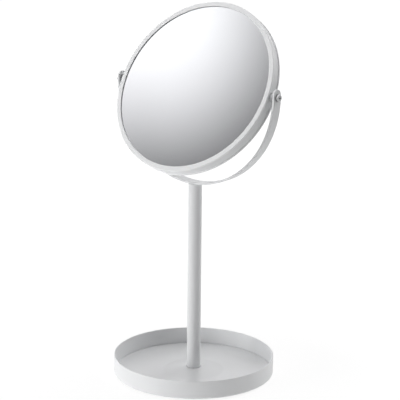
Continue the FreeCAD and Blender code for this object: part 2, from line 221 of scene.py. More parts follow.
def drill(piece: Piece, holes: Sequence[Hole]) -> None:
    """Drill holes through a piece and keep the drilled mesh.

    All holes go in one cut: a second cut now and then turned the drilled mesh inside out.

    Args:
        piece: The piece to drill, already in metres.
        holes: The holes.
    """
    mesh = bmesh.new()
    for hole in holes:
        middle = Matrix.Translation((0.0, 0.0, hole.height * MM))
        bmesh.ops.create_cone(mesh, cap_ends=True, segments=64, radius1=hole.radius * MM,
                              radius2=hole.radius * MM, depth=hole.length * MM,
                              matrix=middle @ hole.axis.matrix())
    tool = settled(mesh, "drill")
    cut = piece.modifiers.new("Drill", "BOOLEAN")
    cut.operation = "DIFFERENCE"
    cut.solver = "EXACT"
    cut.object = tool
    depsgraph = bpy.context.evaluated_depsgraph_get()
    drilled = bpy.data.meshes.new_from_object(piece.evaluated_get(depsgraph))
    piece.modifiers.remove(cut)
    piece.data = drilled
    bpy.data.objects.remove(tool)


# ---- shader making


class Shading:
    """Adds nodes to one tree and wires them up."""

    def __init__(self, tree: Tree) -> None:
        """Start from an emptied tree."""
        self.tree = tree
        tree.nodes.clear()

    def add(self, kind: str, sockets: dict[Any, Any] | None = None, **settings: Any) -> Node:
        """Add a node.

        Args:
            kind: The node's type name, after ShaderNode.
            sockets: Its inputs by name or number: sockets to wire in, numbers, vectors, or
                colours without their alpha.
            settings: Properties of the node itself.

        Returns:
            The new node.
        """
        node = self.tree.nodes.new(f"ShaderNode{kind}")
        for name, value in settings.items():
            setattr(node, name, value)
        for key, value in (sockets or {}).items():
            target = node.inputs[key]
            if isinstance(value, Socket):
                self.tree.links.new(value, target)
            else:
                target.default_value = (*value, 1.0) if target.type == "RGBA" else value
        return node

    def math(self, operation: str, *values: Any, clamp: bool = False) -> Socket:
        """The result of a Math node, kept between 0 and 1 where it is clamped."""
        return self.add("Math", dict(enumerate(values)), operation=operation,
                        use_clamp=clamp).outputs[0]

    def dot(self, first: Any, second: Any) -> Socket:
        """How far one direction runs along another."""
        return self.add("VectorMath", {0: first, 1: second},
                        operation="DOT_PRODUCT").outputs["Value"]

    def remap(self, value: Any, low: float = 0.0, high: float = 1.0, start: float = 0.0,
              end: float = 1.0, smooth: bool = False) -> Socket:
        """Carry a value from one range over to another and hold it there.

        Args:
            value: The value.
            low: Where the range begins.
            high: Where it ends.
            start: What the beginning becomes.
            end: What the end becomes.
            smooth: Ease in and out instead of running straight.

        Returns:
            The new value.
        """
        return self.add("MapRange", {0: value, 1: low, 2: high, 3: start, 4: end},
                        interpolation_type="SMOOTHSTEP" if smooth else "LINEAR").outputs[0]

    def blend(self, factor: Any, first: Any, second: Any) -> Socket:
        """Two colours mixed by a factor."""
        return self.add("Mix", {0: factor, 6: first, 7: second}, data_type="RGBA").outputs[2]

    def noise(self, place: Socket, scale: Any, detail: float, roughness: float = 0.5) -> Socket:
        """Cloudy noise between 0 and 1."""
        return self.add("TexNoise", {"Vector": place, "Scale": scale, "Detail": detail,
                                     "Roughness": roughness}).outputs[0]

    def sort_rays(self, output: str, others: Socket, mirrored: Socket, direct: Socket) -> None:
        """Show each kind of ray its own shader, and wire the result out.

        Args:
            output: Kind of the output node.
            others: What lights the object.
            mirrored: What is seen in a reflection or through glass.
            direct: What the camera sees.
        """
        path = self.add("LightPath").outputs
        by_glass = self.math("ADD", path["Is Glossy Ray"], path["Is Transmission Ray"],
                             clamp=True)
        indirect = self.add("MixShader", {0: by_glass, 1: others, 2: mirrored}).outputs[0]
        final = self.add("MixShader", {0: path["Is Camera Ray"], 1: indirect, 2: direct})
        self.add(output, {"Surface": final.outputs[0]})


class EffectGroup(Shading):
    """A shader node group while its nodes are added."""

    def __init__(self, name: str, inputs: dict[str, float | None], outputs: Sequence[str]) -> None:
        """Open a group.

        Args:
            name: The group's name.
            inputs: Its inputs and their usual values, with None for a place.
            outputs: The values that it puts out.
        """
        super().__init__(bpy.data.node_groups.new(name, "ShaderNodeTree"))
        for label, usual in inputs.items():
            kind = "NodeSocketVector" if usual is None else "NodeSocketFloat"
            socket = self.tree.interface.new_socket(name=label, in_out="INPUT", socket_type=kind)
            if usual is not None:
                socket.default_value = usual
        for label in outputs:
            self.tree.interface.new_socket(name=label, in_out="OUTPUT",
                                           socket_type="NodeSocketFloat")
        self.inputs = self.tree.nodes.new("NodeGroupInput").outputs[:len(inputs)]

    def close(self, *results: Socket) -> Tree:
        """Wire the results out.

        Args:
            results: A socket for each output, in order.

        Returns:
            The finished group.
        """
        outside = self.tree.nodes.new("NodeGroupOutput")
        for result, target in zip(results, outside.inputs):
            self.tree.links.new(result, target)
        return self.tree


class EffectLibrary:
    """Shader node groups that several finishes share, each built once."""

    def __init__(self) -> None:
        """Build the groups."""
        self.grain = self.draw_grain()
        self.drift = self.draw_drift()
        self.edges = self.draw_edges()
        self.creases = self.draw_crease_shade()
        self.strokes = self.draw_strokes()

    @staticmethod
    def draw_grain() -> Tree:
        """Fine orange-peel relief: soft rounded cells with a little noise on them.

        Returns:
            A group that puts out a height.
        """
        group = EffectGroup("Orange peel", {"Place": None, "Cells per metre": 700.0}, ["Height"])
        place, scale = group.inputs
        cells = group.add("TexVoronoi", {"Vector": place, "Scale": scale, "Smoothness": 1.0},
                          feature="SMOOTH_F1").outputs["Distance"]
        ripples = group.noise(place, group.math("MULTIPLY", scale, 0.6), 3.0, roughness=0.55)
        domes = group.math("MULTIPLY_ADD", cells, -0.55, 0.55)
        return group.close(group.math("ADD", domes, group.math("MULTIPLY", ripples, 0.45)))

    @staticmethod
    def draw_drift() -> Tree:
        """Slow change over a surface, for thickness of paint or handling.

        Returns:
            A group that puts out a 0 to 1 mask.
        """
        group = EffectGroup("Slow drift", {"Place": None, "Patches per metre": 30.0}, ["Mask"])
        return group.close(group.remap(group.noise(*group.inputs, 4.0), 0.3, 0.7))

    @staticmethod
    def draw_edges() -> Tree:
        """Mask of convex and concave edges, where paint thins and hands rub; the powder coat also
        paints highlights along it.

        Returns:
            A group that puts out a 0 to 1 mask.
        """
        group = EffectGroup("Edge mask", {"Width": 0.0006, "Gain": 6.0}, ["Mask"])
        width, gain = group.inputs
        rounded = group.add("Bevel", {"Radius": width}, samples=4).outputs[0]
        same = group.dot(rounded, group.add("NewGeometry").outputs["Normal"])
        return group.close(group.math("MULTIPLY", group.math("SUBTRACT", 1.0, same), gain,
                                      clamp=True))

    @staticmethod
    def draw_crease_shade() -> Tree:
        """Mask of narrow inside corners, where light hardly reaches; finishes paint shade along it.

        Returns:
            A group that puts out a 0 to 1 mask.
        """
        group = EffectGroup("Creases", {"Reach": 0.0016, "Strength": 2.0}, ["Mask"])
        reach, strength = group.inputs
        near = group.add("AmbientOcclusion", {"Distance": reach}, samples=4).outputs["AO"]
        deep = group.math("POWER", group.math("SUBTRACT", 1.0, near), 1.5)
        return group.close(group.math("MULTIPLY", deep, strength, clamp=True))

    @staticmethod
    def draw_strokes() -> Tree:
        """Long fine strokes, as a cutting tool or a brush leaves.

        Returns:
            A group that puts out a height and a mask.
        """
        group = EffectGroup("Tool strokes", {"Place": None, "Strokes per metre": 4000.0},
                            ["Height", "Mask"])
        place, scale = group.inputs
        stretched = group.add("VectorMath", {0: place, 1: (1.0, 0.06, 0.06)},
                              operation="MULTIPLY").outputs[0]
        broad = group.noise(place, group.math("MULTIPLY", scale, 0.05), 3.0)
        return group.close(group.noise(stretched, scale, 2.0), broad)


class Bench(Shading):
    """One material's tree, with coordinates fixed to the piece."""

    def __init__(self, tree: Tree) -> None:
        """Start a material."""
        super().__init__(tree)
        self.place = self.add("TexCoord").outputs["Object"]

    def effect(self, group: Tree, sockets: dict[str, float] | None = None) -> Sequence[Socket]:
        """Lay a shared effect on the piece.

        Args:
            group: The effect's group.
            sockets: Its inputs that aren't as usual.

        Returns:
            The values that it puts out.
        """
        node = self.add("Group", sockets, node_tree=group)
        if "Place" in node.inputs:
            self.tree.links.new(self.place, node.inputs["Place"])
        return node.outputs

    def relief(self, height: Socket, strength: float, depth: float) -> Socket:
        """The normal of a surface with a relief, whose depth is in metres."""
        return self.add("Bump", {"Strength": strength, "Distance": depth,
                                 "Height": height}).outputs[0]


def toned(colour: Colour, factor: float) -> Colour:
    """A colour made darker or paler."""
    return tuple(min(channel * factor, 1.0) for channel in colour)


@dataclass(frozen=True)
class Finish(ABC):
    """A finish that can be put on a piece."""

    name: str
    slot: Slot

    def material(self, effects: EffectLibrary) -> bpy.types.Material:
        """Build the finish's material.

        Args:
            effects: The shared shader groups.

        Returns:
            The new material.
        """
        made = bpy.data.materials.new(self.name)
        made.use_nodes = True
        bench = Bench(made.node_tree)
        shader = bench.add("BsdfPrincipled", self.recipe(bench, effects))
        bench.add("OutputMaterial", {"Surface": shader.outputs[0]})
        return made

    @abstractmethod
    def recipe(self, bench: Bench, effects: EffectLibrary) -> dict[str, Any]:
        """What goes into the Principled shader's inputs.

        Args:
            bench: The material's tree.
            effects: The shared shader groups.

        Returns:
            Values and sockets by the input's name.
        """


@dataclass(frozen=True)
class PowderCoat(Finish):
    """Satin powder coat baked onto steel."""

    colour: Colour = (0.835, 0.842, 0.85)
    # pale tint of the orange peel, and a painted highlight along the edges
    pale_highlight_colour: Colour = (0.96, 0.965, 0.97)
    # painted shade: the colour that narrow inside corners darken towards
    crease_shade_colour: Colour = (0.42, 0.425, 0.435)
    patches: float = 26.0
    drift_tone: float = 0.985
    roughness: float = 0.33
    gloss_drift: float = 0.03
    peel_cells: float = 820.0
    peel_depth: float = 0.00003
    peel_share: float = 0.35
    peel_tint: float = 0.05
    edge_share: float = 0.85
    edge_gloss: float = 1.0
    crease_shade_strength: float = 0.5

    def recipe(self, bench: Bench, effects: EffectLibrary) -> dict[str, Any]:
        """Faint colour and gloss drift, orange-peel relief, painted crease shade, and paler edges
        with painted highlight.
        """
        peel = bench.effect(effects.grain, {"Cells per metre": self.peel_cells})[0]
        drift = bench.effect(effects.drift, {"Patches per metre": self.patches})[0]
        edges = bench.effect(effects.edges)[0]
        creases = bench.effect(effects.creases, {"Strength": self.crease_shade_strength})[0]
        body = bench.blend(drift, toned(self.colour, self.drift_tone), self.colour)
        speckled = bench.blend(bench.remap(peel, end=self.peel_tint), body, self.pale_highlight_colour)
        # paler edges: partly thinner paint, partly a painted highlight
        thin_paint_and_highlight = bench.blend(bench.math("MULTIPLY", edges, self.edge_share), speckled,
                           self.pale_highlight_colour)
        return {
            # painted shade in inside corners, where the occlusion mask finds little light
            "Base Color": bench.blend(creases, thin_paint_and_highlight, self.crease_shade_colour),
            "Roughness": bench.remap(drift, start=self.roughness - self.gloss_drift,
                                     end=self.roughness + self.gloss_drift),
            "IOR": 1.5,
            "Coat Weight": bench.math("MULTIPLY", edges, self.edge_gloss),
            "Coat Roughness": 0.2,
            "Normal": bench.relief(peel, self.peel_share, self.peel_depth),
        }


@dataclass(frozen=True)
class Silvering(Finish):
    """Silver film behind the glass."""

    colour: Colour = (0.955, 0.96, 0.962)
    patches: float = 14.0
    drift_tone: float = 0.992

    def recipe(self, bench: Bench, effects: EffectLibrary) -> dict[str, Any]:
        """A flawless metal film whose colour drifts by a hair."""
        drift = bench.effect(effects.drift, {"Patches per metre": self.patches})[0]
        film = bench.blend(drift, toned(self.colour, self.drift_tone), self.colour)
        return {"Base Color": film, "Metallic": 1.0, "Roughness": 0.0}


@dataclass(frozen=True)
class ClearGlass(Finish):
    """Float glass in front of the silver."""

    colour: Colour = (0.985, 0.99, 0.995)
    green_tint: Colour = (0.980075, 0.99, 0.99301)
    patches: float = 8.0

    def recipe(self, bench: Bench, effects: EffectLibrary) -> dict[str, Any]:
        """Clear glass whose cool breath of tint drifts a little."""
        drift = bench.effect(effects.drift, {"Patches per metre": self.patches})[0]
        return {"Base Color": bench.blend(drift, self.green_tint, self.colour),
                "Transmission Weight": 1.0, "Roughness": 0.0, "IOR": 1.52}


@dataclass(frozen=True)
class Metal(Finish):
    """Bare or plated metal with the marks of its making."""

    colour: Colour = (0.62, 0.63, 0.64)
    # painted shade: the colour that recesses, such as the screw's cross, darken towards
    recess_shade_colour: Colour = (0.05, 0.05, 0.052)
    dull_tone: float = 0.9
    rubbed_tone: float = 1.15
    roughness: float = 0.25
    gloss_range: tuple[float, float] = (0.75, 1.3)
    strokes: float = 5000.0
    stroke_share: float = 0.2
    stroke_depth: float = 0.000005
    edge_width: float = 0.00015

    def recipe(self, bench: Bench, effects: EffectLibrary) -> dict[str, Any]:
        """Fine strokes in the gloss and relief, rubbed edges and painted shade in the recesses."""
        fine, broad = bench.effect(effects.strokes, {"Strokes per metre": self.strokes})
        edges = bench.effect(effects.edges, {"Width": self.edge_width})[0]
        creases = bench.effect(effects.creases)[0]
        plate = bench.blend(broad, toned(self.colour, self.dull_tone), self.colour)
        rubbed = bench.blend(edges, plate, toned(self.colour, self.rubbed_tone))
        glossy, dull = (self.roughness * share for share in self.gloss_range)
        return {
            # painted shade in the recesses
            "Base Color": bench.blend(creases, rubbed, self.recess_shade_colour),
            "Metallic": 1.0,
            "Roughness": bench.remap(fine, start=glossy, end=dull),
            "Normal": bench.relief(fine, self.stroke_share, self.stroke_depth),
        }


@dataclass(frozen=True)
class Moulded(Finish):
    """Moulded plastic, rubber or foam."""

    colour: Colour = (0.8, 0.8, 0.79)
    patches: float = 60.0
    drift_tone: float = 0.95
    edge_tone: float = 1.08
    roughness: float = 0.5
    gloss_grain: float = 0.06
    cells: float = 1500.0
    depth: float = 0.00001
    grain_share: float = 0.5
    edge_width: float = 0.0003
    edge_share: float = 0.6

    def recipe(self, bench: Bench, effects: EffectLibrary) -> dict[str, Any]:
        """Fine grain with a slow drift in colour."""
        grain = bench.effect(effects.grain, {"Cells per metre": self.cells})[0]
        drift = bench.effect(effects.drift, {"Patches per metre": self.patches})[0]
        edges = bench.effect(effects.edges, {"Width": self.edge_width})[0]
        body = bench.blend(drift, toned(self.colour, self.drift_tone), self.colour)
        worn = bench.blend(bench.math("MULTIPLY", edges, self.edge_share), body,
                           toned(self.colour, self.edge_tone))
        return {
            "Base Color": worn,
            "Roughness": bench.remap(grain, start=self.roughness + self.gloss_grain,
                                     end=self.roughness - self.gloss_grain),
            "Normal": bench.relief(grain, self.grain_share, self.depth),
        }


class Wardrobe:
    """Holds every finish's material and puts them on pieces."""

    def __init__(self) -> None:
        """Start with the shared effects and no material."""
        self.effects = EffectLibrary()
        self.made: dict[str, bpy.types.Material] = {}

    def dress(self, piece: Piece, finish: Finish) -> None:
        """Put a finish on a piece, and build its material if it is new.

        Args:
            piece: The object to dress.
            finish: The finish to put on it.
        """
        if finish.name not in self.made:
            self.made[finish.name] = finish.material(self.effects)
        if not piece.material_slots:
            piece.data.materials.append(None)
        for slot in piece.material_slots:
            slot.material = self.made[finish.name]


# ---- sub-assemblies


@dataclass
class Assembly(ABC):
    """A group of pieces on one body, with the sizes that several groups share."""

    wardrobe: Wardrobe
    pivot_height: float = 276.2
    yoke_inner: float = 88.0
    yoke_strip: float = 2.0
    body: ClassVar[Body] = Body.STAND

    @property
    def yoke_outer(self) -> float:
        """Outside radius of the yoke."""
        return self.yoke_inner + self.yoke_strip

    @property
    def pivot(self) -> Vector:
        """Middle of the pivot axis, in metres."""
        return Vector((0.0, 0.0, self.pivot_height * MM))

    def placement(self) -> Matrix:
        """Where the assembly's own axes sit in the whole object, in metres."""
        return Matrix.Identity(4)

    def finish_piece(self, mesh: Mesh, name: str, finish: Finish, node: str) -> Piece:
        """Turn a mesh in millimetres into a placed, dressed and riding piece.

        Args:
            mesh: The mesh, which is freed.
            name: The piece's name.
            finish: What it is made of or coated with.
            node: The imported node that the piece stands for.

        Returns:
            The finished object.
        """
        moved(mesh, self.placement() @ Matrix.Scale(MM, 4))
        piece = settled(mesh, name)
        self.smooth(piece)
        self.wardrobe.dress(piece, finish)
        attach(piece, self.body.value)
        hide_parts(node)
        LOG.info("piece %s: %d faces, rides on %s", name, len(piece.data.polygons),
                 self.body.value)
        return piece

    def smooth(self, piece: Piece) -> None:
        """Shade a piece smooth between its true edges."""
        piece.data.shade_smooth()
        piece.data.set_sharp_from_angle(angle=TRUE_EDGE)
        if "Even normals" not in piece.modifiers:
            piece.modifiers.new("Even normals", "WEIGHTED_NORMAL").keep_sharp = True

    def dress_node(self, node: str, finish: Finish) -> None:
        """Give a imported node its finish.

        Args:
            node: The node's name.
            finish: What it is made of.
        """
        self.wardrobe.dress(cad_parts[node], finish)
        LOG.info("node %s: %s", node, finish.name)

    @abstractmethod
    def build(self) -> None:
        """Make and dress the assembly's pieces."""


@dataclass(kw_only=True)
class Tray(Assembly):
    """Round tray pressed from sheet, on four pads."""

    coat: Finish
    rubber: Finish
    radius: float = 76.5
    rim: float = 18.7
    underside: float = 1.2
    sheet: float = 1.2
    corner: float = 2.0
    boss_top: float = 8.5
    boss_foot: float = 28.5
    boss_rise: float = 3.0
    boss_softening: float = 12.0
    dimple_foot: float = 5.2
    dimple_radius: float = 4.703
    dimple_mouth: float = 0.2
    dimple_crest: float = 0.15
    screw_hole: float = 2.55
    pads: int = 4
    pad_radius: float = 7.0
    pad_edge: float = 0.3
    pad_circle: float = 61.5
    ring_inner: float = 3.6
    ring_outer: float = 3.9
    ring_depth: float = 0.25
    ring_edge: float = 0.1

    def section(self) -> list[Corner]:
        """The sheet's section, from the dimple out to the rim and back."""
        under, floor, sheet = self.underside, self.underside + self.sheet, self.sheet
        lifted, top = under + self.boss_rise, floor + self.boss_rise
        crown = lifted + self.dimple_radius - self.screw_hole
        crest = self.dimple_foot - (crown - top)
        rim_edge = sheet * 0.499
        return [
            Corner(self.dimple_radius, lifted, self.dimple_mouth),
            Corner(self.boss_top, lifted, self.boss_softening),
            Corner(self.boss_foot, under, self.boss_softening),
            Corner(self.radius, under, self.corner),
            Corner(self.radius, self.rim, rim_edge),
            Corner(self.radius - sheet, self.rim, rim_edge),
            Corner(self.radius - sheet, floor, self.corner - sheet),
            Corner(self.boss_foot, floor, self.boss_softening),
            Corner(self.boss_top, top, self.boss_softening),
            Corner(self.dimple_foot, top),
            Corner(crest, crown, self.dimple_crest),
            Corner(self.screw_hole, crown),
        ]

    def pad_mesh(self) -> Mesh:
        """All the pads, each with a soft edge and a shallow ring moulded in its foot."""
        mesh = turned([
            Corner(0.0, self.ring_depth), Corner(self.ring_inner, self.ring_depth, self.ring_edge),
            Corner(self.ring_outer, 0.0, self.ring_edge),
            Corner(self.pad_radius, 0.0, self.pad_edge), Corner(self.pad_radius, self.underside),
            Corner(0.0, self.underside),
        ], Axis.UPRIGHT, steps=64, segments=3)
        moved(mesh, Matrix.Rotation(TURN / (2 * self.pads), 4, "Z")
              @ Matrix.Translation((self.pad_circle, 0.0, 0.0)))
        copies = self.pads - 1
        bmesh.ops.spin(mesh, geom=mesh.verts[:] + mesh.edges[:] + mesh.faces[:], cent=ORIGIN,
                       axis=UP, dvec=ORIGIN, angle=TURN * copies / self.pads, steps=copies,
                       use_merge=False, use_duplicate=True)
        return mesh

    def build(self) -> None:
        """Make the tray and its pads."""
        tray = turned(self.section(), Axis.UPRIGHT, steps=256, segments=6)
        self.finish_piece(tray, "tray", self.coat, "tray_base")
        self.finish_piece(self.pad_mesh(), "tray_pads", self.rubber, "anti_slip_feet")


@dataclass(kw_only=True)
class Post(Assembly):
    """Straight tube with its plugs and the screw that holds it to the tray."""

    coat: Finish
    steel: Finish
    radius: float = 6.5
    wall: float = 1.0
    foot: float = 5.4
    foot_edge: float = 0.25

    def tube(self) -> Mesh:
        """The tube, with its top end shaped to the yoke."""
        bore, top = self.radius - self.wall, self.pivot_height - self.yoke_outer
        mesh = turned([Corner(bore, self.foot), Corner(self.radius, self.foot, self.foot_edge),
                       Corner(self.radius, top), Corner(bore, top)],
                      Axis.UPRIGHT, steps=96, segments=3)
        for vert in mesh.verts:
            if vert.co.z > top - TOUCHING:
                drop = math.sqrt(self.yoke_outer ** 2 - vert.co.x ** 2)
                vert.co.z = self.pivot_height - drop
        return mesh

    def build(self) -> None:
        """Make the tube and dress what is inside it."""
        self.finish_piece(self.tube(), "post", self.coat, "post_tube")
        for node in ("post_lower_insert", "base_screw"):
            self.dress_node(node, self.steel)
        self.dress_node("post_top_plug", self.coat)


@dataclass(kw_only=True)
class Yoke(Assembly):
    """Flat strip bent to a half ring, with straight round-ended tabs."""

    coat: Finish
    width: float = 11.0
    tab_rise: float = 2.0
    edge: float = 0.35
    pivot_hole: float = 1.83
    spigot_hole: float = 3.05
    spigot_drill: float = 8.0
    divisions: int = 180
    columns: int = 12

    @property
    def middle(self) -> float:
        """Radius of the strip's middle."""
        return self.yoke_inner + self.yoke_strip / 2.0

    @property
    def quarter(self) -> float:
        """Length along the strip from its middle to where a tab starts."""
        return self.middle * math.pi / 2.0

    def flat_strip(self) -> Mesh:
        """The strip before bending: length on X, width on Y and thickness on Z."""
        mesh = bmesh.new()
        bmesh.ops.create_grid(mesh, x_segments=self.divisions, y_segments=self.columns, size=1.0)
        half_length = self.quarter + self.tab_rise
        half_width = self.width / 2.0
        for vert in mesh.verts:
            vert.co.x *= half_length
            vert.co.y = half_width * math.sin(vert.co.y * math.pi / 2.0)
        ends = [edge for edge in mesh.edges
                if all(abs(vert.co.x) > half_length - TOUCHING for vert in edge.verts)]
        for vert in only_verts(bmesh.ops.extrude_edge_only(mesh, edges=ends)["geom"]):
            reach = math.sqrt(max(half_width ** 2 - vert.co.y ** 2, 0.0))
            vert.co.x += math.copysign(reach, vert.co.x)
        bmesh.ops.remove_doubles(mesh, verts=mesh.verts[:], dist=TOUCHING)
        raised = bmesh.ops.extrude_face_region(mesh, geom=mesh.faces[:])["geom"]
        bmesh.ops.translate(mesh, vec=(0.0, 0.0, self.yoke_strip), verts=only_verts(raised))
        close_up(mesh)
        rims = [edge for edge in mesh.edges if edge.calc_face_angle(0.0) > SQUARE_EDGE]
        bmesh.ops.bevel(mesh, geom=rims, offset=self.edge, offset_type="OFFSET",
                        affect="EDGES", segments=4, profile=0.5, material=-1,
                        clamp_overlap=False)
        return mesh

    def bent(self, flat: Vector) -> Vector:
        """Where a point of the flat strip lies once the strip is bent.

        Args:
            flat: Length from the middle, width, and height above the inner face.

        Returns:
            The place in the object, in millimetres.
        """
        side = math.copysign(1.0, flat.x)
        run = abs(flat.x)
        radius = self.yoke_inner + flat.z
        if run > self.quarter:
            return Vector((side * radius, flat.y, self.pivot_height + run - self.quarter))
        turn = run / self.quarter * math.pi / 2.0
        return Vector((side * radius * math.sin(turn), flat.y,
                       self.pivot_height - radius * math.cos(turn)))

    def build(self) -> None:
        """Bend the strip, drill it and finish it."""
        mesh = self.flat_strip()
        for vert in mesh.verts:
            vert.co = self.bent(vert.co)
        close_up(mesh)
        piece = self.finish_piece(mesh, "yoke_strip", self.coat, "yoke")
        drill(piece, [Hole(self.pivot_hole, ACROSS * self.yoke_outer, self.pivot_height,
                           Axis.PIVOT),
                      Hole(self.spigot_hole, self.spigot_drill, self.pivot_height - self.middle,
                           Axis.UPRIGHT)])
        self.smooth(piece)


@dataclass(kw_only=True)
class MirrorHead(Assembly):
    """Round two-sided head, drawn upright about the pivot and tilted back."""

    body: ClassVar[Body] = Body.HEAD

    coat: Finish
    ring_coat: Finish
    silver: Finish
    glass: Finish
    plastic: Finish
    foam: Finish
    tilt: float = 30.0
    radius: float = 84.0
    face: float = 6.25
    lip: float = 0.9
    bezel_width: float = 4.6
    bead: float = 1.9
    bead_rounding: float = 0.7
    lip_rounding: float = 0.35
    collar: float = 0.6
    rim_step: float = 0.8
    rim_sheet: float = 0.8
    plug_gap: float = 0.05
    glass_gap: float = 0.05
    glass_thickness: float = 2.0
    glass_edge: float = 0.25
    dish: float = 3.0
    dish_rings: int = 24
    clear_glass: float = 0.4
    film_inset: float = 0.1
    film_clearance: float = 0.005
    film_to_glass: float = 0.01
    glass_to_lip: float = 0.02
    bush_hole: float = 2.65

    def placement(self) -> Matrix:
        """The tilt about the pivot, lifted to its height."""
        return (Matrix.Translation(self.pivot)
                @ Matrix.Rotation(math.radians(-self.tilt), 4, "X"))

    @property
    def hoop_inner(self) -> float:
        """Inside radius of the hoop."""
        return self.radius - self.rim_step - self.rim_sheet

    @property
    def glass_radius(self) -> float:
        """Outside radius of both glasses."""
        return self.hoop_inner - self.plug_gap - self.collar - self.glass_gap

    @property
    def film(self) -> float:
        """Thickness of the silver with its protective backing."""
        return (self.glass_thickness - self.glass_to_lip - self.clear_glass
                - self.film_to_glass - self.film_clearance)

    def bezel(self, side: float) -> Mesh:
        """Rolled ring that holds one glass.

        Args:
            side: -1 for the plain glass's side, 1 for the curved one's.

        Returns:
            The ring's mesh.
        """
        face, glass = side * self.face, side * (self.face - self.lip)
        back = side * (self.face - self.bead)
        end = side * (self.face - self.lip - self.glass_thickness)
        outer_collar = self.hoop_inner - self.plug_gap
        return turned([
            Corner(self.radius - self.bezel_width, glass, self.lip_rounding),
            Corner(self.radius - self.bezel_width, face, self.lip_rounding),
            Corner(self.radius, face, self.bead_rounding),
            Corner(self.radius, back, self.bead_rounding / 2.0),
            Corner(outer_collar, back), Corner(outer_collar, end),
            Corner(outer_collar - self.collar, end), Corner(outer_collar - self.collar, glass),
        ], Axis.DEPTH, steps=288, segments=6)

    def hoop(self) -> Mesh:
        """Plain band between the two rings."""
        half = self.face - self.bead
        return turned(band(self.radius - self.rim_step, self.hoop_inner, -half, half),
                      Axis.DEPTH, steps=288)

    def pane(self) -> Mesh:
        """Plain glass, just clear of the lip in front and the film behind."""
        front = -(self.face - self.lip - self.glass_to_lip)
        section = band(self.glass_radius, 0.0, front, front + self.clear_glass, self.glass_edge)
        return turned(section, Axis.DEPTH, segments=3)

    def plain_film(self) -> Mesh:
        """Silver film behind the plain glass."""
        back = -(self.face - self.lip - self.glass_thickness + self.film_clearance)
        return turned(band(self.glass_radius - self.film_inset, 0.0, back - self.film, back),
                      Axis.DEPTH)

    def dished(self, near: float, thickness: float, radius: float) -> Mesh:
        """A disc curved like the magnifying glass.

        Args:
            near: Station of its inner face at the middle.
            thickness: Its thickness.
            radius: Its outside radius.

        Returns:
            The disc's mesh.
        """
        mesh = turned(band(radius, 0.0, 0.0, thickness), Axis.DEPTH)
        curve = (self.glass_radius ** 2 + self.dish ** 2) / (2.0 * self.dish)
        for index in range(1, self.dish_rings):
            self.ring_cut(mesh, radius * index / self.dish_rings)
        for vert in mesh.verts:
            vert.co.y += near + curve - math.sqrt(curve ** 2 - vert.co.xz.length_squared)
        return mesh

    @staticmethod
    def ring_cut(mesh: Mesh, radius: float) -> None:
        """Add a ring of edges at a radius to the flat faces that reach across it."""
        crossing = []
        for edge in mesh.edges:
            first, last = (vert.co for vert in edge.verts)
            flat = abs(first.y - last.y) < TOUCHING
            if flat and (first.xz.length - radius) * (last.xz.length - radius) < 0.0:
                crossing.append(edge)
        cut = bmesh.ops.subdivide_edges(mesh, edges=crossing, cuts=1, use_grid_fill=True)
        for vert in only_verts(cut["geom_inner"]):
            out = vert.co.xz.length
            vert.co.x *= radius / out
            vert.co.z *= radius / out

    def build(self) -> None:
        """Make the rings, hoop and glasses, and dress what is between them."""
        for name, side in (("front", -1.0), ("rear", 1.0)):
            self.finish_piece(self.bezel(side), f"{name}_ring", self.ring_coat,
                              f"{name}_bezel_ring")
        piece = self.finish_piece(self.hoop(), "hoop", self.coat, "rim_hoop")
        drill(piece, [Hole(self.bush_hole, ACROSS * self.radius, self.pivot_height, Axis.PIVOT)])
        self.smooth(piece)
        self.finish_piece(self.pane(), "plain_glass", self.glass, "front_mirror_glass")
        self.finish_piece(self.plain_film(), "plain_silver", self.silver, "front_mirror_glass")
        back = self.face - self.lip - self.glass_thickness - self.dish + self.film_clearance
        pane = self.dished(back + self.film + self.film_to_glass, self.clear_glass,
                           self.glass_radius)
        self.finish_piece(pane, "curved_glass", self.glass, "rear_mirror_glass")
        film = self.dished(back, self.film, self.glass_radius - self.film_inset)
        self.finish_piece(film, "curved_silver", self.silver, "rear_mirror_glass")
        self.dress_node("glass_carrier_ring", self.plastic)
        self.dress_node("foam_backing_disc", self.foam)


